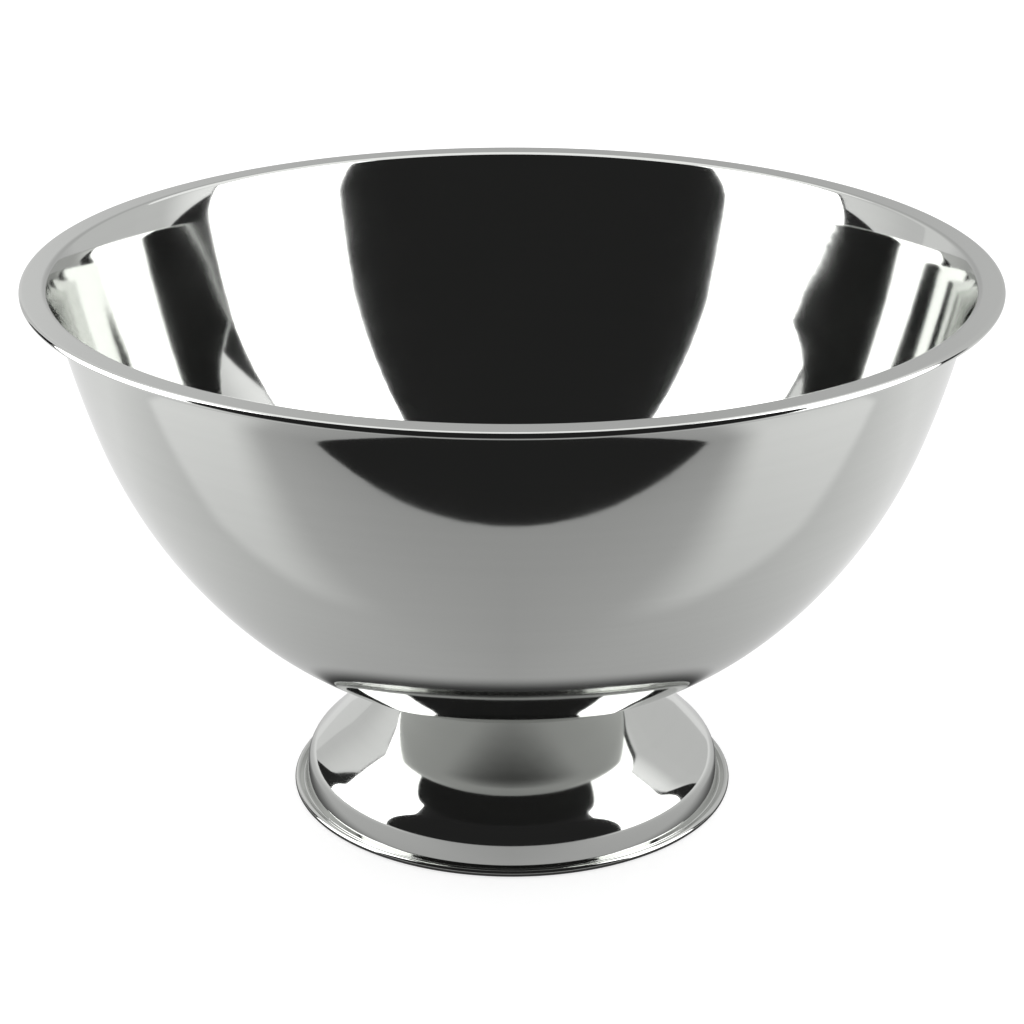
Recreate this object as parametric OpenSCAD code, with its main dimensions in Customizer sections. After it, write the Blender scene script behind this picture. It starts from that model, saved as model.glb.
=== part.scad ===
// Punch bowl on a fixed pedestal foot, both pressed from polished stainless steel sheet.
// Millimetres, +Z up. The origin is on the floor, at the centre of the foot.
//
// Every sheet is drawn as a path of steps along its hidden face (the bowl's underside, the
// foot's inside), with the metal on the left of the path. A step is [length, 0] for a straight
// stretch, or [radius, turn] for an arc, where a positive turn bends to the left.

/* [Bowl] */
// Diameter over the rim
rim_d = 400; // [340:5:440]
// Height of the bowl, from its flat bottom to the top of the rim
bowl_h = 164.9; // [150:0.1:180]
// Thickness of the bowl sheet
bowl_t = 0.8; // [0.6:0.1:1.2]
// Slope of the wall where it is steepest
wall_slope = 77.4; // [75:0.1:82]
// How much the wall leans out again in the lip below the rim
lip_turn = 13; // [8:0.5:18]
// Radius of the lip, on the wall's outer face
lip_r = 54; // [30:1:70]
// Width of the rim, from the end of the lip to the rim's edge
rim_w = 10.4; // [9:0.1:14]
// Radius of the bend from the lip into the rim, on its underside
rim_bend_r = 1.6; // [0.8:0.1:3]
// Diameter of the curl along the rim's edge
rim_curl_d = 3; // [2.6:0.1:4]

/* [Foot] */
// Diameter over the bead at the base
base_d = 190.4; // [180:0.1:210]
// Height of the foot, from the floor to the bottom of the bowl
foot_h = 66.6; // [60:0.2:75]
// Thickness of the foot sheet
foot_t = 0.7; // [0.5:0.1:1]
// Radius of the hollow flare at the top of the foot
flare_r = 148; // [120:1:180]
// Slope where the flare turns into the swell, from the horizontal
cone_slope = 39.3; // [37:0.1:42]
// Radius of the swell between the flare and the shoulder
swell_r = 180; // [120:1:240]
// How far the swell turns
swell_turn = 6.3; // [3:0.1:9]
// Radius of the shoulder above the skirt
shoulder_r = 15.2; // [10:0.1:18]
// Length of the straight skirt
skirt_l = 9; // [5:0.1:12]
// How far the skirt leans out from upright
skirt_lean = 11; // [6:0.5:14]
// Radius of the hollow bend between the skirt and the bead
groove_r = 0.5; // [0.3:0.1:1.5]
// How steeply the sheet rises from that bend into the bead
bead_rise = 37; // [20:1:50]
// Length of that rise
rise_l = 1.4; // [0.8:0.1:2]
// Diameter of the bead
bead_d = 3; // [2.6:0.1:4]
// Depth worn off the bead where it stands on the floor
seat_wear = 0.1; // [0.05:0.05:0.2]

/* [Joint between bowl and foot] */
// Radius of the hole in the top of the foot
foot_hole_r = 18; // [12:1:20]
// Number of spot welds
weld_count = 6; // [4:1:8]
// Diameter of a weld nugget
weld_d = 5; // [3:0.5:5]
// Share of each sheet's thickness that a nugget reaches into
weld_reach = 0.5; // [0.3:0.1:0.6]

/* [Hidden] */
$fn = 180;
chord_gap = 0.02;
clear = 1;
upright = 90;

// How far the sheet turns under in the rim's curl and in the bead. Both rolls stay open.
curl_turn = -270;
bead_turn = -280;

// The wall's lower arcs from the flat bottom up, as [radius, turn], for a rim of design_rim_d.
design_rim_d = 400;
rim_scale = rim_d / design_rim_d;
knuckle_turn = 32;
lower_turn = 12;
belly_turn = 26.7;
belly_slope = knuckle_turn + lower_turn + belly_turn;
lower_arcs = [
    [12 * rim_scale, knuckle_turn],
    [174 * rim_scale, lower_turn],
    [207 * rim_scale, belly_turn]
];

// The arc above them has the radius that brings the rim to bowl_h.
lip_slope = wall_slope - lip_turn;
lip = [lip_r, -lip_turn];
rim_bend = [rim_bend_r, -lip_slope];
lip_rise = end_of([lip, rim_bend], wall_slope)[1];
upper_rise = bowl_h - bowl_t - end_of(lower_arcs)[1] - lip_rise;
upper_r = upper_rise / (cos(belly_slope) - cos(wall_slope));
wall_steps = concat(lower_arcs, [[upper_r, wall_slope - belly_slope], lip]);
rim_flat = [rim_w - rim_bend_r * sin(lip_slope) - rim_curl_d / 2, 0];
rim_curl = [rim_curl_d / 2 - bowl_t, curl_turn];
bottom_flat = [rim_d / 2 - rim_w - end_of(wall_steps)[0], 0];
bowl_steps = concat([bottom_flat], wall_steps, [rim_bend, rim_flat, rim_curl]);

// The foot below its flare, from the swell to the start of the bead.
base_steps = [
    [swell_r, -swell_turn],
    [shoulder_r - foot_t, cone_slope + swell_turn + skirt_lean - upright],
    [skirt_l, 0],
    [groove_r + foot_t, upright - skirt_lean + bead_rise],
    [rise_l, 0]
];
base_reach = end_of(base_steps, -cone_slope);
curl_r = bead_d / 2 - foot_t;
bead_centre = base_reach + curl_r * [sin(bead_rise), -cos(bead_rise)];

// The flare starts at the slope that brings the bead down to the floor.
top_bend_r = 3;
bend_r = top_bend_r - foot_t;
flare_drop = foot_h - foot_t - bead_d / 2 + seat_wear + bead_centre[1];
neck_slope = acos((flare_r * cos(cone_slope) + bend_r - flare_drop) / (flare_r + bend_r));
neck_steps = [[bend_r, -neck_slope], [flare_r, neck_slope - cone_slope]];
top_reach = base_d / 2 - bead_d / 2 - bead_centre[0] - end_of(neck_steps)[0];
top_flat = [top_reach - foot_hole_r, 0];
bead = [curl_r, bead_turn];
foot_steps = concat([top_flat], neck_steps, base_steps, [bead]);

weld_circle_r = (foot_hole_r + top_reach) / 2;

// How far one step carries the path that enters it with the given heading.
function advance(step, heading) =
    step[1] == 0
        ? step[0] * [cos(heading), sin(heading)]
        : sign(step[1]) * step[0]
            * [sin(heading + step[1]) - sin(heading), cos(heading) - cos(heading + step[1])];

// Heading of the path as it enters step number i.
function heading_at(steps, i, heading = 0) =
    i == 0 ? heading : heading_at(steps, i - 1, heading) + steps[i - 1][1];

// Point of the path where step number i begins, measured from its start.
function point_at(steps, i, heading = 0) =
    i == 0
        ? [0, 0]
        : point_at(steps, i - 1, heading) + advance(steps[i - 1], heading_at(steps, i - 1, heading));

// Point where the whole path ends, measured from its start.
function end_of(steps, heading = 0) = point_at(steps, len(steps), heading);

// Unit vector to the left of a heading.
function left_of(heading) = [-sin(heading), cos(heading)];

// Number of chords that draw one step, so that none strays from its arc by more than chord_gap.
// The sheet's other face has the larger radius where the step turns right.
function chords(step) =
    step[1] == 0
        ? 1
        : ceil(abs(step[1]) / (2 * acos(1 - chord_gap / (step[0] + max(bowl_t, foot_t)))));

// Points and headings along the path of a whole sheet.
function trace(steps, heading = 0) = [
    for (i = [0 : len(steps) - 1])
        for (k = [min(i, 1) : chords(steps[i])])
            let (
                share = k / chords(steps[i]),
                entry = heading_at(steps, i, heading),
                part = steps[i][1] == 0 ? [steps[i][0] * share, 0] : [steps[i][0], steps[i][1] * share]
            )
            [point_at(steps, i, heading) + advance(part, entry), entry + part[1]]
];

// Section of a sheet that starts at the given point and runs outwards.
module sheet_section(start, steps, thickness) {
    hidden_face = trace(steps);
    shown_face = [
        for (i = [len(hidden_face) - 1 : -1 : 0])
            hidden_face[i][0] + thickness * left_of(hidden_face[i][1])
    ];
    translate(start) polygon(concat([for (p = hidden_face) p[0]], shown_face));
}

// One upright disc at each spot weld, from below the joint face to above it.
module at_welds(below, above) {
    for (i = [0 : weld_count - 1])
        rotate(i * 360 / weld_count)
            translate([weld_circle_r, 0, foot_h - below])
                cylinder(d = weld_d, h = below + above);
}

module bowl_shell() {
    color("gainsboro")
    difference() {
        rotate_extrude() sheet_section([0, foot_h], bowl_steps, bowl_t);
        at_welds(clear, bowl_t * weld_reach);
    }
}

module foot_shell() {
    color("silver")
    difference() {
        rotate_extrude()
        difference() {
            sheet_section([foot_hole_r, foot_h - foot_t], foot_steps, foot_t);
            translate([0, -bead_d]) square([base_d, bead_d]);
        }
        at_welds(foot_t * weld_reach, clear);
    }
}

module spot_welds() {
    color("dimgray") at_welds(foot_t * weld_reach, bowl_t * weld_reach);
}

bowl_shell();
foot_shell();
spot_welds();
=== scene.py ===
"""Looks of the punch bowl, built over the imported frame.

Metres, +Z up, the floor at z = 0. The bowl and its foot are lathed from the same runs of straights
and arcs as the frame, but much finer, so that the polished steel reflects smoothly.
"""

import math

import bmesh
import bpy
import numpy as np
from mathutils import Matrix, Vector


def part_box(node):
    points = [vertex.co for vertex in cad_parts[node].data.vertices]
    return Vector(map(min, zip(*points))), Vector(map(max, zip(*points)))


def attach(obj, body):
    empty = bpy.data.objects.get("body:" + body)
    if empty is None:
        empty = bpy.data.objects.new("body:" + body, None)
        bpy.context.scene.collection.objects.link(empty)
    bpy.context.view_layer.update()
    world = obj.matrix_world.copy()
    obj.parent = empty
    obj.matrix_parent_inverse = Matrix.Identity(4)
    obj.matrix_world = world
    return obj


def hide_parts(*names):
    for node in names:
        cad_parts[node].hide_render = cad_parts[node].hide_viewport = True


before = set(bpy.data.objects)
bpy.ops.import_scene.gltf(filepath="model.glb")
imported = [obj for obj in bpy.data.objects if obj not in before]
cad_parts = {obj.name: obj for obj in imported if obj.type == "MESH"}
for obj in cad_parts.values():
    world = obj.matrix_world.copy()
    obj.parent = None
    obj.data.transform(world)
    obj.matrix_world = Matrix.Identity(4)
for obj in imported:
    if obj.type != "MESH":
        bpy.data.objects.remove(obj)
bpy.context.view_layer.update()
bowl_low, bowl_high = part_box("bowl_shell")

MM = 0.001
RIM_R = bowl_high.x
BASE_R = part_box("foot_shell")[1].x
JOINT_Z = bowl_low.z

# Bowl sheet. The lower arcs are for a rim of radius DESIGN_RIM_R.
DESIGN_RIM_R = 200 * MM
BOWL_T = 0.8 * MM
WALL_SLOPE = 77.4
LOWER_ARCS = [(12 * MM, 32.0), (174 * MM, 12.0), (207 * MM, 26.7)]
LIP_R = 54 * MM
LIP_TURN = 13.0
RIM_BEND_R = 1.6 * MM
RIM_W = 10.4 * MM
RIM_CURL_R = 1.5 * MM

# Foot sheet
FOOT_T = 0.7 * MM
FOOT_HOLE_R = 18 * MM
TOP_BEND_R = 3 * MM
FLARE_R = 148 * MM
CONE_SLOPE = 39.3
SWELL_R = 180 * MM
SWELL_TURN = 6.3
SHOULDER_R = 15.2 * MM
SKIRT_L = 9 * MM
SKIRT_LEAN = 11.0
GROOVE_R = 0.5 * MM
BEAD_RISE = 37.0
RISE_L = 1.4 * MM
BEAD_R = 1.5 * MM
SEAT_WEAR = 0.1 * MM
CURL_TURN = -270.0
BEAD_TURN = -280.0

# Welds
WELD_COUNT = 6
WELD_R = 2.5 * MM
ELECTRODE_R = 3.2 * MM
MARK_RISE = 0.12 * MM
MARK_OFFSET = 0.02 * MM
MARK_STEPS = 6
MARK_SEGMENTS = 32

# Unevenness of the sheets: lobes around, wavelength along the section, share of the whole depth
RIPPLES = ((3, 160 * MM, 0.6), (5, 70 * MM, 0.25), (9, 38 * MM, 0.08), (16, 21 * MM, 0.03))
FLAT_CENTRE_R = 40 * MM
BOWL_UNEVENNESS = 0.05 * MM
FOOT_UNEVENNESS = 0.04 * MM
BOWL_SEED = 3
FOOT_SEED = 8

# Steel. EDGE_TINT is the share of its mirror brightness that is left at a glancing angle.
STEEL_SHADE = (0.647, 0.656, 0.638)
EDGE_TINT = 0.90
STREAK_GAIN = 1.04

# Finishes: shade, least and most roughness, depth of the fine lines, depth of the orange peel
BOWL_POLISH = (STEEL_SHADE, (0.045, 0.075), 0.0004 * MM, 0.006 * MM)
FOOT_POLISH = (STEEL_SHADE, (0.045, 0.08), 0.0004 * MM, 0.006 * MM)
FOOT_DULL = ((0.55, 0.545, 0.535), (0.28, 0.42), 0.004 * MM, 0.01 * MM)
WELD_TINT = ((0.42, 0.36, 0.30), (0.25, 0.45), 0.004 * MM, 0.02 * MM)

# Noise in the finishes, as scale and detail, and the part of its range that is used
SMUDGES = (28.0, 4.0)
STREAKS = (260.0, 3.0)
FINE_LINES = (2600.0, 2.0)
ORANGE_PEEL = (170.0, 1.0)
NOISE_LOW = 0.3
NOISE_HIGH = 0.7
ANGLE_STRETCH = 0.002

# Light tent around the bowl
TENT_FRONT = -0.3056
TENT_BACK = 0.80
TENT_TOP = 1.10
TENT_DEPTH = 1.2
SEAM = 0.015
PANEL_GLOW = 3.5
GAP_GLOW = 0.02
BACK_GLOW = 0.70
FADE_WIDTH = 0.45
CEILING_GLOW = 1.2
HALF_SPAN = 3.0
LEFT_X = -0.685
RIGHT_X = 0.435
LEFT_BACK = (LEFT_X, 0.226)
RIGHT_BACK = (0.77, 0.09)

# Dark wedge behind each side panel, as its width on the floor and its height, and the glow beside it
LEFT_WEDGE = (0.40, 0.42)
LEFT_NEAR_GLOW = 0.90
RIGHT_WEDGE = (0.60, 0.56)
RIGHT_NEAR_GLOW = 1.15

# Back wall of the tent: how its glow changes across it
WALL_MIDDLE_GLOW = 0.56
WALL_TILT = -0.19
WALL_BOW = 1.39
WALL_REACH = 0.38

# Glow of the table, painted light and shade: the grey front, the bright wedges and the shaded back
TABLE_REACH = 0.50
FRONT_GLOW = 0.40
FRONT_DEPTH_GAIN = 0.25
FRONT_SPREAD_GAIN = 4.2
WEDGE_GLOW = 0.60
WEDGE_GAIN = 0.8
SHADED_GLOW = 0.76
SHADED_GAIN = 1.2
SHADED_MOST = 0.95

# Edges of the painted bright wedges: y where each crosses the middle, how steeply it runs out, and its
# softness
RIM_EDGE_Y = -0.205
RIM_EDGE_SLOPE = 0.44
RIM_EDGE_WIDTH = 0.03
PANEL_EDGE_Y = -0.105
PANEL_EDGE_SLOPE = 0.39
PANEL_EDGE_SKEW = 0.09
PANEL_EDGE_WIDTH = 0.09

# Painted shadow under the bowl and painted contact shadow right beside the foot
UNDER_BOWL_R = 0.15
UNDER_BOWL_WIDTH = 0.22
UNDER_BOWL_LEAST = 0.71
CONTACT_SHADOW = 20 * MM
CONTACT_LEAST = 0.1

# Floor and surroundings
FLOOR_REACH = 4.0
FLOOR_BACK = 6.0
TABLE_BACK = 4.0
WALL_TOP = 3.0
FLOOR_SHADE = 0.5
FLOOR_GLOW = 0.6
FLOOR_DROP = 0.2 * MM
TABLE_DROP = 0.1 * MM
SKY_GLOW = 1.35
ROOM_GLOW = 0.02

# Mirror bounces that the inside of the rim needs
MIRROR_BOUNCES = 10

# Camera, in rim radii from the middle of the rim's outer edge
CAMERA_LENS = 98.15
SENSOR_WIDTH = 36.0
CAMERA_AWAY = 5.5107
CAMERA_ABOVE = 1.6425
CAMERA_TILT = 21.589
RIM_EDGE_DROP = 0.6 * MM

# Fineness of the lathed meshes
AROUND = 384
MAX_STEP = 1.2 * MM
MAX_TURN = 3.0
MERGE_DISTANCE = 0.001 * MM
SHARP_ANGLE = 30.0


def advance(size, turn, heading):
    """How far one straight (turn 0) or arc carries a path that enters it with this heading."""
    start = math.radians(heading)
    if turn == 0:
        return size * math.cos(start), size * math.sin(start)
    end = math.radians(heading + turn)
    reach = math.copysign(size, turn)
    return reach * (math.sin(end) - math.sin(start)), reach * (math.cos(start) - math.cos(end))


def end_of(steps, heading=0.0):
    """Where a path ends, measured from its start."""
    x = z = 0.0
    for size, turn in steps:
        dx, dz = advance(size, turn, heading)
        x += dx
        z += dz
        heading += turn
    return x, z


def trace(start, steps):
    """Points of a path with the heading at each, close enough together to look smooth."""
    x, z = start
    heading = 0.0
    points = [(x, z, heading)]
    for size, turn in steps:
        run = size if turn == 0 else size * math.radians(abs(turn))
        count = math.ceil(max(run / MAX_STEP, abs(turn) / MAX_TURN))
        for k in range(1, count + 1):
            share = k / count
            part = (size * share, 0) if turn == 0 else (size, turn * share)
            dx, dz = advance(*part, heading)
            points.append((x + dx, z + dz, heading + turn * share))
        x, z = points[-1][:2]
        heading += turn
    return points


def sheet_outline(start, steps, thickness):
    """Closed outline of a sheet: out along its hidden face, and back along its shown face."""
    hidden = trace(start, steps)
    shown = [
        (x - thickness * math.sin(math.radians(h)), z + thickness * math.cos(math.radians(h)))
        for x, z, h in hidden
    ]
    return [(x, z) for x, z, h in hidden], shown[::-1]


def bowl_path():
    """Straights and arcs of the bowl's underside, from its axis out to the end of the curl."""
    lower = [(radius * RIM_R / DESIGN_RIM_R, turn) for radius, turn in LOWER_ARCS]
    lower_rise = end_of(lower)[1]
    lip_slope = WALL_SLOPE - LIP_TURN
    top = [(LIP_R, -LIP_TURN), (RIM_BEND_R, -lip_slope)]
    upper_rise = bowl_high.z - bowl_low.z - BOWL_T - lower_rise - end_of(top, WALL_SLOPE)[1]
    belly_slope = sum(turn for radius, turn in LOWER_ARCS)
    flatter = math.cos(math.radians(belly_slope)) - math.cos(math.radians(WALL_SLOPE))
    wall = lower + [(upper_rise / flatter, WALL_SLOPE - belly_slope), top[0]]
    flat = RIM_W - RIM_BEND_R * math.sin(math.radians(lip_slope)) - RIM_CURL_R
    bottom = RIM_R - RIM_W - end_of(wall)[0]
    return [(bottom, 0)] + wall + [top[1], (flat, 0), (RIM_CURL_R - BOWL_T, CURL_TURN)]


def foot_path():
    """Straights and arcs of the foot's inside, from its top hole down to the end of the bead."""
    rise = math.radians(BEAD_RISE)
    base = [
        (SWELL_R, -SWELL_TURN),
        (SHOULDER_R - FOOT_T, CONE_SLOPE + SWELL_TURN + SKIRT_LEAN - 90),
        (SKIRT_L, 0),
        (GROOVE_R + FOOT_T, 90 - SKIRT_LEAN + BEAD_RISE),
        (RISE_L, 0),
    ]
    reach, fall = end_of(base, -CONE_SLOPE)
    bead_x = reach + (BEAD_R - FOOT_T) * math.sin(rise)
    bead_z = fall - (BEAD_R - FOOT_T) * math.cos(rise)
    flare_drop = JOINT_Z - FOOT_T - BEAD_R + SEAT_WEAR + bead_z
    bend_r = TOP_BEND_R - FOOT_T
    cosine = (FLARE_R * math.cos(math.radians(CONE_SLOPE)) + bend_r - flare_drop) / (FLARE_R + bend_r)
    neck_slope = math.degrees(math.acos(cosine))
    neck = [(bend_r, -neck_slope), (FLARE_R, neck_slope - CONE_SLOPE)]
    top = BASE_R - BEAD_R - bead_x - end_of(neck)[0]
    bead = (BEAD_R - FOOT_T, BEAD_TURN)
    return [(top - FOOT_HOLE_R, 0)] + neck + base + [bead]


def foot_top_reach():
    """Radius at which the foot's flat top ring bends down into the cone."""
    return FOOT_HOLE_R + foot_path()[0][0]


def ripple(angle, along, height, seed):
    """Slight unevenness of a pressed and polished sheet: out of round, plus shallow long waves."""
    rng = np.random.default_rng(seed)
    depth = height * np.cos(2 * angle + rng.uniform(0, 2 * math.pi))
    for lobes, wave, share in RIPPLES:
        phase = rng.uniform(0, 2 * math.pi, 2)
        around = np.cos(lobes * angle + phase[0])
        depth = depth + height * share * around * np.cos(along * 2 * math.pi / wave + phase[1])
    return depth


def lathe(name, outline, materials, hidden_count, closed, unevenness, seed):
    """A sheet turned round the Z axis.

    The first hidden_count points of the outline are its hidden face, which takes the first material.
    """
    points = np.array(outline)
    steps = np.linalg.norm(np.diff(points, axis=0), axis=1)
    along = np.concatenate([[0.0], np.cumsum(steps)])
    along[hidden_count:] = along[-1] - along[hidden_count:]
    angles = np.arange(AROUND) * 2 * math.pi / AROUND
    grid_along, grid_angle = np.meshgrid(along, angles, indexing="ij")
    fade = np.clip(points[:, 0] / FLAT_CENTRE_R, 0, 1)[:, None]
    swell = ripple(grid_angle, grid_along, unevenness, seed) * fade
    radius = points[:, 0][:, None] + swell
    level = np.repeat(points[:, 1][:, None], AROUND, axis=1)
    verts = np.stack([radius * np.cos(grid_angle), radius * np.sin(grid_angle), level], axis=-1)
    rows = len(points)
    faces = []
    for i in range(rows if closed else rows - 1):
        j = (i + 1) % rows
        for k in range(AROUND):
            m = (k + 1) % AROUND
            faces.append((i * AROUND + k, i * AROUND + m, j * AROUND + m, j * AROUND + k))
    mesh = bpy.data.meshes.new(name)
    mesh.from_pydata(verts.reshape(-1, 3).tolist(), [], faces)
    for material in materials:
        mesh.materials.append(material)
    hidden_faces = (hidden_count - 1) * AROUND
    slots = [0 if f < hidden_faces else len(materials) - 1 for f in range(len(faces))]
    mesh.polygons.foreach_set("material_index", slots)
    merge_doubles(mesh)
    mesh.shade_smooth()
    mesh.set_sharp_from_angle(angle=math.radians(SHARP_ANGLE))
    piece = bpy.data.objects.new(name, mesh)
    bpy.context.scene.collection.objects.link(piece)
    return piece


def merge_doubles(mesh):
    """Joins the points that fall together, as they do where a sheet meets the axis."""
    shape = bmesh.new()
    shape.from_mesh(mesh)
    bmesh.ops.remove_doubles(shape, verts=shape.verts, dist=MERGE_DISTANCE)
    shape.to_mesh(mesh)
    shape.free()


def node(tree, kind, x, y, **settings):
    """One shader node, placed in the editor, with its settings."""
    made = tree.nodes.new(kind)
    made.location = (x, y)
    for key, value in settings.items():
        setattr(made, key, value)
    return made


def maths(tree, operation, a, b, x, y):
    """A maths node. a and b are sockets or numbers."""
    made = node(tree, "ShaderNodeMath", x, y, operation=operation)
    for index, value in enumerate((a, b)):
        if isinstance(value, (int, float)):
            made.inputs[index].default_value = value
        else:
            tree.links.new(value, made.inputs[index])
    return made.outputs[0]


def ring_coordinates(tree, stretch):
    """Object coordinates folded into (distance from the axis, height, a little of the angle)."""
    place = node(tree, "ShaderNodeTexCoord", -1500, 0)
    split = node(tree, "ShaderNodeSeparateXYZ", -1300, 0)
    tree.links.new(place.outputs["Object"], split.inputs[0])
    x, y, z = split.outputs
    squares = maths(tree, "ADD", maths(tree, "MULTIPLY", x, x, -1100, 100),
                    maths(tree, "MULTIPLY", y, y, -1100, -50), -950, 50)
    away = maths(tree, "SQRT", squares, 0.0, -800, 50)
    turn = maths(tree, "ARCTAN2", y, x, -1100, -200)
    joined = node(tree, "ShaderNodeCombineXYZ", -650, 0)
    tree.links.new(away, joined.inputs[0])
    tree.links.new(z, joined.inputs[1])
    tree.links.new(maths(tree, "MULTIPLY", turn, stretch, -800, -200), joined.inputs[2])
    return joined.outputs[0]


def noise_texture(tree, where, scale, detail, x, y):
    """Noise over the given coordinates, from 0 to 1."""
    made = node(tree, "ShaderNodeTexNoise", x, y)
    made.inputs["Scale"].default_value = scale
    made.inputs["Detail"].default_value = detail
    tree.links.new(where, made.inputs["Vector"])
    return made.outputs["Fac"]


def ranged(tree, value, low, high, x, y):
    """A noise value spread over the range low to high."""
    made = node(tree, "ShaderNodeMapRange", x, y)
    made.inputs["From Min"].default_value = NOISE_LOW
    made.inputs["From Max"].default_value = NOISE_HIGH
    made.inputs["To Min"].default_value = low
    made.inputs["To Max"].default_value = high
    tree.links.new(value, made.inputs["Value"])
    return made.outputs["Result"]


def steel(name, shade, roughness, line_depth, peel_depth):
    """Stainless steel with fine lines round the axis, a slight orange peel and faint smudges."""
    material = bpy.data.materials.new(name)
    material.use_nodes = True
    tree = material.node_tree
    tree.nodes.clear()
    out = node(tree, "ShaderNodeOutputMaterial", 600, 0)
    metal = node(tree, "ShaderNodeBsdfPrincipled", 300, 0)
    metal.inputs["Metallic"].default_value = 1.0
    metal.inputs["Specular Tint"].default_value = (EDGE_TINT, EDGE_TINT, EDGE_TINT, 1.0)
    tree.links.new(metal.outputs[0], out.inputs["Surface"])
    rings = ring_coordinates(tree, ANGLE_STRETCH)
    spots = node(tree, "ShaderNodeTexCoord", -650, -500).outputs["Object"]

    smudges = noise_texture(tree, spots, *SMUDGES, -400, 100)
    tree.links.new(ranged(tree, smudges, roughness[0], roughness[1], -150, 100),
                   metal.inputs["Roughness"])

    mix = node(tree, "ShaderNodeMix", 50, 300, data_type="RGBA")
    mix.inputs["A"].default_value = (*shade, 1.0)
    mix.inputs["B"].default_value = (*[c * STREAK_GAIN for c in shade], 1.0)
    tree.links.new(noise_texture(tree, rings, *STREAKS, -400, 350), mix.inputs["Factor"])
    tree.links.new(mix.outputs["Result"], metal.inputs["Base Color"])

    lines = node(tree, "ShaderNodeBump", 50, -250)
    lines.inputs["Distance"].default_value = line_depth
    lines.inputs["Strength"].default_value = 1.0
    tree.links.new(noise_texture(tree, rings, *FINE_LINES, -400, -200), lines.inputs["Height"])
    peel = node(tree, "ShaderNodeBump", 50, -500)
    peel.inputs["Distance"].default_value = peel_depth
    peel.inputs["Strength"].default_value = 1.0
    tree.links.new(noise_texture(tree, spots, *ORANGE_PEEL, -400, -500), peel.inputs["Height"])
    tree.links.new(lines.outputs[0], peel.inputs["Normal"])
    tree.links.new(peel.outputs[0], metal.inputs["Normal"])
    return material


def emitter(name, radiance):
    """A glowing material for a part of the light tent."""
    material = bpy.data.materials.new(name)
    material.use_nodes = True
    tree = material.node_tree
    tree.nodes.clear()
    out = node(tree, "ShaderNodeOutputMaterial", 300, 0)
    glow = node(tree, "ShaderNodeEmission", 0, 0)
    glow.inputs["Strength"].default_value = radiance
    tree.links.new(glow.outputs[0], out.inputs["Surface"])
    return material


def board(name, corners, material):
    """A flat stage object with any number of corners."""
    mesh = bpy.data.meshes.new(name)
    mesh.from_pydata(corners, [], [tuple(range(len(corners)))])
    mesh.materials.append(material)
    made = bpy.data.objects.new(name, mesh)
    bpy.context.scene.collection.objects.link(made)
    return made


def only_in_reflections(made):
    """Hides a stage object from everything except mirror reflections."""
    made.visible_camera = False
    made.visible_diffuse = False
    made.visible_shadow = False
    return made


def side_of_tent(side, start, end, wedge, near_glow):
    """One side of the light tent: a bright panel, a dark wedge behind it, then the grey back part.

    The back part fades from near_glow beside the wedge to BACK_GLOW.
    """
    gap_width, gap_height = wedge
    run = math.dist(start, end)
    along = ((end[0] - start[0]) / run, (end[1] - start[1]) / run)

    def at(distance, height):
        return start[0] + along[0] * distance, start[1] + along[1] * distance, height

    far = run + TENT_DEPTH
    edge = run + SEAM
    outlines = {
        "panel": [at(0, 0), at(run, 0), at(run, TENT_TOP), at(0, TENT_TOP)],
        "gap": [at(run, 0), at(edge + gap_width, 0), at(edge, gap_height), at(edge, TENT_TOP),
                at(run, TENT_TOP)],
        "back": [at(edge + gap_width, 0), at(far, 0), at(far, TENT_TOP), at(edge, TENT_TOP),
                 at(edge, gap_height)],
    }
    materials = {
        "panel": emitter(side + "_panel_glow", PANEL_GLOW),
        "gap": emitter(side + "_gap_glow", GAP_GLOW),
        "back": fading_emitter(side + "_back_glow", at(edge, 0), along, near_glow),
    }
    for part, corners in outlines.items():
        only_in_reflections(board(side + "_" + part, corners, materials[part]))


def fading_emitter(name, seam, along, near_glow):
    """Glows with near_glow at the seam, and fades to BACK_GLOW within FADE_WIDTH behind it."""
    material = emitter(name, 1.0)
    tree = material.node_tree
    glow = next(n for n in tree.nodes if n.type == "EMISSION")
    place = node(tree, "ShaderNodeTexCoord", -900, 0)
    from_seam = node(tree, "ShaderNodeVectorMath", -700, 0, operation="SUBTRACT")
    from_seam.inputs[1].default_value = seam
    tree.links.new(place.outputs["Object"], from_seam.inputs[0])
    behind = node(tree, "ShaderNodeVectorMath", -500, 0, operation="DOT_PRODUCT")
    behind.inputs[1].default_value = (*along, 0.0)
    tree.links.new(from_seam.outputs["Vector"], behind.inputs[0])
    fade = node(tree, "ShaderNodeMapRange", -300, 0, interpolation_type="SMOOTHSTEP")
    fade.inputs["From Max"].default_value = FADE_WIDTH
    fade.inputs["To Min"].default_value = near_glow
    fade.inputs["To Max"].default_value = BACK_GLOW
    tree.links.new(behind.outputs["Value"], fade.inputs["Value"])
    tree.links.new(fade.outputs["Result"], glow.inputs["Strength"])
    return material


def level_corners(half_width, front, back, height):
    """Corners of a level board, from front to back."""
    return [(-half_width, front, height), (half_width, front, height),
            (half_width, back, height), (-half_width, back, height)]


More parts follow.
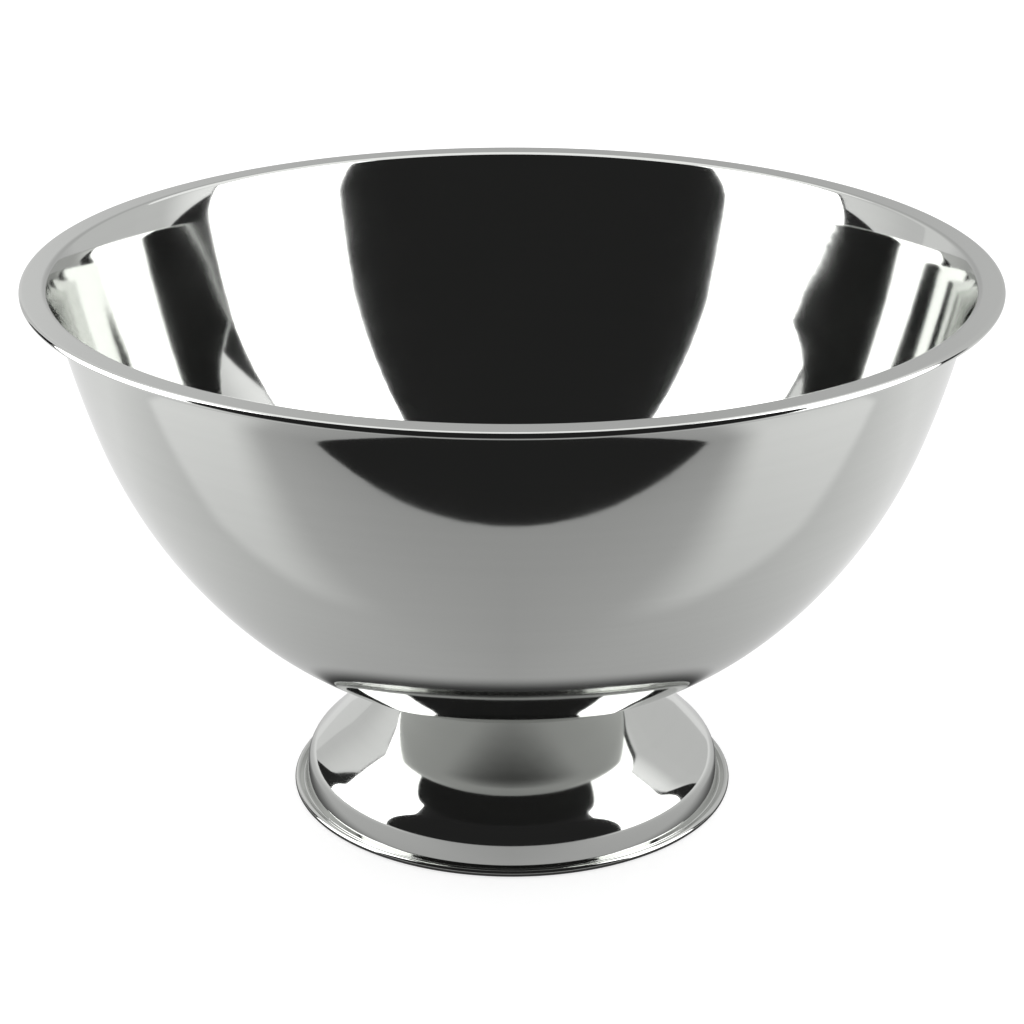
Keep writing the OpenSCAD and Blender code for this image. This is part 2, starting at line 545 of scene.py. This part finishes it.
def add_studio():
    """The pale floor, and the light tent that the steel reflects, open towards the camera."""
    ground = level_corners(FLOOR_REACH, -FLOOR_REACH, FLOOR_BACK, 0)
    floor = board("floor", ground, matt_material("pale_floor", FLOOR_SHADE, FLOOR_GLOW))
    floor.location.z = -FLOOR_DROP
    floor.visible_glossy = False
    # The table's glow is painted light and shade, seen only in the steel's reflections
    table = board("table", level_corners(HALF_SPAN, TENT_FRONT, TABLE_BACK, 0), table_material())
    table.location.z = -TABLE_DROP
    only_in_reflections(table)
    side_of_tent("left", (LEFT_X, TENT_FRONT), LEFT_BACK, LEFT_WEDGE, LEFT_NEAR_GLOW)
    side_of_tent("right", (RIGHT_X, TENT_FRONT), RIGHT_BACK, RIGHT_WEDGE, RIGHT_NEAR_GLOW)
    upright = [(-HALF_SPAN, TENT_BACK, 0), (HALF_SPAN, TENT_BACK, 0),
               (HALF_SPAN, TENT_BACK, WALL_TOP), (-HALF_SPAN, TENT_BACK, WALL_TOP)]
    only_in_reflections(board("back_wall", upright, back_material()))
    overhead = level_corners(HALF_SPAN, TENT_FRONT, TENT_BACK, TENT_TOP)
    only_in_reflections(board("ceiling", overhead, emitter("ceiling_glow", CEILING_GLOW)))


def matt_material(name, shade, glow):
    """A matt surface of the given shade, with an even glow added to the light that falls on it."""
    material = bpy.data.materials.new(name)
    material.use_nodes = True
    tree = material.node_tree
    tree.nodes.clear()
    out = node(tree, "ShaderNodeOutputMaterial", 500, 0)
    matt = node(tree, "ShaderNodeBsdfDiffuse", 0, 100)
    matt.inputs["Color"].default_value = (shade, shade, shade, 1.0)
    even = node(tree, "ShaderNodeEmission", 0, -100)
    even.inputs["Strength"].default_value = glow
    both = node(tree, "ShaderNodeAddShader", 250, 0)
    tree.links.new(matt.outputs[0], both.inputs[0])
    tree.links.new(even.outputs[0], both.inputs[1])
    tree.links.new(both.outputs[0], out.inputs["Surface"])
    return material


def step_up(tree, value, width, x, y):
    """Runs smoothly from 0 to 1 as the value goes from half the width below zero to half above it."""
    made = node(tree, "ShaderNodeMapRange", x, y, interpolation_type="SMOOTHSTEP")
    made.inputs["From Min"].default_value = -width / 2
    made.inputs["From Max"].default_value = width / 2
    tree.links.new(value, made.inputs["Value"])
    return made.outputs["Result"]


def blend(tree, share, a, b, x, y):
    """Goes from a to b as the share goes from 0 to 1."""
    difference = maths(tree, "SUBTRACT", b, a, x, y)
    scaled = maths(tree, "MULTIPLY", difference, share, x + 200, y)
    return maths(tree, "ADD", scaled, a, x + 400, y)


def slope(tree, value, factor, offset, x, y):
    """The value times a factor, plus an offset."""
    return maths(tree, "ADD", maths(tree, "MULTIPLY", value, factor, x, y), offset, x + 200, y)


def table_material():
    """The table as the steel sees it.

    Its glow is painted light and shade. It is grey in front, between the two panels. A painted bright
    wedge opens out on either side. Behind the wedges lies the bowl's own shadow, painted in, which
    fades towards the back. Right beside the foot a painted contact shadow makes it dark.
    """
    material = emitter("table_glow", 1.0)
    tree = material.node_tree
    glow = next(n for n in tree.nodes if n.type == "EMISSION")
    place = node(tree, "ShaderNodeTexCoord", -3000, 0)
    split = node(tree, "ShaderNodeSeparateXYZ", -2800, 0)
    tree.links.new(place.outputs["Object"], split.inputs[0])
    x, y, z = split.outputs
    aside = maths(tree, "MINIMUM", maths(tree, "ABSOLUTE", x, 0.0, -2600, 0), TABLE_REACH, -2400, 0)

    depth = slope(tree, y, 1.0, -TENT_FRONT, -2200, 600)
    area = maths(tree, "MULTIPLY", aside, depth, -2000, 400)
    spread = maths(tree, "MULTIPLY", area, FRONT_SPREAD_GAIN, -1800, 400)
    plain = slope(tree, depth, FRONT_DEPTH_GAIN, FRONT_GLOW, -1800, 600)
    front = maths(tree, "ADD", plain, spread, -1400, 500)
    # Painted bright wedges on either side of the table
    wedge = slope(tree, aside, WEDGE_GAIN, WEDGE_GLOW, -1800, 200)
    rising = slope(tree, y, SHADED_GAIN, SHADED_GLOW, -1800, 0)
    back = maths(tree, "MINIMUM", rising, SHADED_MOST, -1400, 0)

    length = node(tree, "ShaderNodeVectorMath", -2600, -700, operation="LENGTH")
    tree.links.new(place.outputs["Object"], length.inputs[0])
    # Painted shadow of the bowl, darkening the table's glow under it
    off_middle = slope(tree, length.outputs["Value"], 1.0, -UNDER_BOWL_R, -2400, -700)
    clear_of_bowl = step_up(tree, off_middle, UNDER_BOWL_WIDTH, -2000, -700)
    under_bowl = slope(tree, clear_of_bowl, 1 - UNDER_BOWL_LEAST, UNDER_BOWL_LEAST, -1800, -700)
    shaded_back = maths(tree, "MULTIPLY", back, under_bowl, -1200, -100)

    rim_run = maths(tree, "MULTIPLY", aside, RIM_EDGE_SLOPE, -2200, -300)
    rim_edge = maths(tree, "SUBTRACT", slope(tree, y, 1.0, -RIM_EDGE_Y, -2200, -200), rim_run,
                     -1800, -250)
    past_rim = step_up(tree, rim_edge, RIM_EDGE_WIDTH, -1600, -250)
    panel_run = maths(tree, "ADD", maths(tree, "MULTIPLY", aside, PANEL_EDGE_SLOPE, -2200, -450),
                      maths(tree, "MULTIPLY", x, PANEL_EDGE_SKEW, -2200, -550), -2000, -450)
    panel_edge = maths(tree, "ADD", slope(tree, y, 1.0, -PANEL_EDGE_Y, -2200, -350), panel_run,
                       -1800, -450)
    past_panel = step_up(tree, panel_edge, PANEL_EDGE_WIDTH, -1600, -450)

    behind = blend(tree, past_rim, wedge, shaded_back, -1000, 0)
    lit = blend(tree, past_panel, front, behind, -500, 200)
    # Painted contact shadow, darkening the table's glow right beside the foot
    off_foot = slope(tree, length.outputs["Value"], 1.0, -BASE_R - CONTACT_SHADOW / 2, -2400, -900)
    clear_of_foot = step_up(tree, off_foot, CONTACT_SHADOW, -2000, -900)
    contact = slope(tree, clear_of_foot, 1 - CONTACT_LEAST, CONTACT_LEAST, -1800, -900)
    tree.links.new(maths(tree, "MULTIPLY", lit, contact, 0, 200), glow.inputs["Strength"])
    return material


def back_material():
    """The back of the tent: greyest in the middle, lighter to the sides, most of all to the left."""
    material = emitter("back_wall_glow", 1.0)
    tree = material.node_tree
    glow = next(n for n in tree.nodes if n.type == "EMISSION")
    place = node(tree, "ShaderNodeTexCoord", -1500, 0)
    split = node(tree, "ShaderNodeSeparateXYZ", -1300, 0)
    tree.links.new(place.outputs["Object"], split.inputs[0])
    across = split.outputs["X"]
    capped = maths(tree, "MINIMUM", across, WALL_REACH, -1100, 0)
    held = maths(tree, "MAXIMUM", capped, -WALL_REACH, -900, 0)
    squared = maths(tree, "MULTIPLY", held, held, -700, 0)
    bowed = maths(tree, "MULTIPLY", squared, WALL_BOW, -500, 0)
    tilted = slope(tree, held, WALL_TILT, WALL_MIDDLE_GLOW, -700, 200)
    total = maths(tree, "ADD", tilted, bowed, -250, 100)
    tree.links.new(total, glow.inputs["Strength"])
    return material


def add_world():
    """White behind the floor and soft white light on it, but a dark room for the steel."""
    world = bpy.data.worlds.new("studio")
    bpy.context.scene.world = world
    world.use_nodes = True
    world.cycles.sampling_method = "NONE"
    tree = world.node_tree
    tree.nodes.clear()
    out = node(tree, "ShaderNodeOutputWorld", 600, 0)
    room = node(tree, "ShaderNodeBackground", 0, 100)
    room.inputs["Color"].default_value = (ROOM_GLOW, ROOM_GLOW, ROOM_GLOW, 1.0)
    white = node(tree, "ShaderNodeBackground", 0, -100)
    white.inputs["Color"].default_value = (1.0, 1.0, 1.0, 1.0)
    white.inputs["Strength"].default_value = SKY_GLOW
    path = node(tree, "ShaderNodeLightPath", 0, 400)
    choice = node(tree, "ShaderNodeMixShader", 300, 0)
    tree.links.new(path.outputs["Is Glossy Ray"], choice.inputs["Fac"])
    tree.links.new(white.outputs[0], choice.inputs[1])
    tree.links.new(room.outputs[0], choice.inputs[2])
    tree.links.new(choice.outputs[0], out.inputs["Surface"])


def add_camera():
    """Looks at the bowl from the front, a little above the rim."""
    data = bpy.data.cameras.new("camera")
    data.lens = CAMERA_LENS
    data.sensor_width = SENSOR_WIDTH
    camera = bpy.data.objects.new("camera", data)
    bpy.context.scene.collection.objects.link(camera)
    rim_edge_z = bowl_high.z - RIM_EDGE_DROP
    camera.location = (0.0, -CAMERA_AWAY * RIM_R, rim_edge_z + CAMERA_ABOVE * RIM_R)
    camera.rotation_euler = (math.radians(90 - CAMERA_TILT), 0.0, 0.0)
    bpy.context.scene.camera = camera


def add_bowl():
    """The drawn bowl, polished on both faces."""
    polished = steel("bowl_polish", *BOWL_POLISH)
    hidden, shown = sheet_outline((0.0, JOINT_Z), bowl_path(), BOWL_T)
    outline = hidden + shown
    bowl = lathe("bowl", outline, [polished], len(hidden), False, BOWL_UNEVENNESS, BOWL_SEED)
    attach(bowl, "root")
    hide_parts("bowl_shell")


def add_foot():
    """The pressed foot, polished outside and left dull inside."""
    dull = steel("foot_dull", *FOOT_DULL)
    polished = steel("foot_polish", *FOOT_POLISH)
    hidden, shown = sheet_outline((FOOT_HOLE_R, JOINT_Z - FOOT_T), foot_path(), FOOT_T)
    outline = [(x, max(z, 0.0)) for x, z in hidden + shown]
    finishes = [dull, polished]
    foot = lathe("foot", outline, finishes, len(hidden), True, FOOT_UNEVENNESS, FOOT_SEED)
    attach(foot, "root")
    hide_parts("foot_shell")


def nugget_section():
    """Radii and heights of one nugget, from the middle of its hidden top to the middle of its mark."""
    under = JOINT_Z - FOOT_T - MARK_OFFSET
    mark = []
    for k in range(MARK_STEPS + 1):
        share = k / MARK_STEPS
        swell = MARK_RISE * math.sin(share * math.pi) ** 2
        mark.append((ELECTRODE_R * (1 - share), under - swell))
    top = JOINT_Z + BOWL_T / 2
    return [(0.0, top), (WELD_R, top), (WELD_R, JOINT_Z - FOOT_T)] + mark


def add_weld_nuggets():
    """The weld nuggets, each ending in the heat-tinted mark with a raised rim that an electrode left."""
    material = steel("weld_tint", *WELD_TINT)
    circle = (FOOT_HOLE_R + foot_top_reach()) / 2
    shape = bmesh.new()
    for i in range(WELD_COUNT):
        turn = i * 2 * math.pi / WELD_COUNT
        cx, cy = circle * math.cos(turn), circle * math.sin(turn)
        rings = []
        for radius, z in nugget_section():
            count = MARK_SEGMENTS if radius > 0 else 1
            angles = [s * 2 * math.pi / count for s in range(count)]
            rings.append([
                shape.verts.new((cx + radius * math.cos(a), cy + radius * math.sin(a), z))
                for a in angles
            ])
        for upper, lower in zip(rings, rings[1:]):
            for s in range(MARK_SEGMENTS):
                t = (s + 1) % MARK_SEGMENTS
                corners = [upper[s % len(upper)], lower[s % len(lower)],
                           lower[t % len(lower)], upper[t % len(upper)]]
                shape.faces.new(list(dict.fromkeys(corners)))
    mesh = bpy.data.meshes.new("weld_nuggets")
    shape.to_mesh(mesh)
    shape.free()
    mesh.materials.append(material)
    mesh.shade_smooth()
    mesh.set_sharp_from_angle(angle=math.radians(SHARP_ANGLE))
    nuggets = bpy.data.objects.new("weld_nuggets", mesh)
    bpy.context.scene.collection.objects.link(nuggets)
    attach(nuggets, "root")
    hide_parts("spot_welds")


bpy.context.scene.view_settings.view_transform = "Standard"
bpy.context.scene.cycles.glossy_bounces = MIRROR_BOUNCES
add_bowl()
add_foot()
add_weld_nuggets()
add_world()
add_studio()
add_camera()
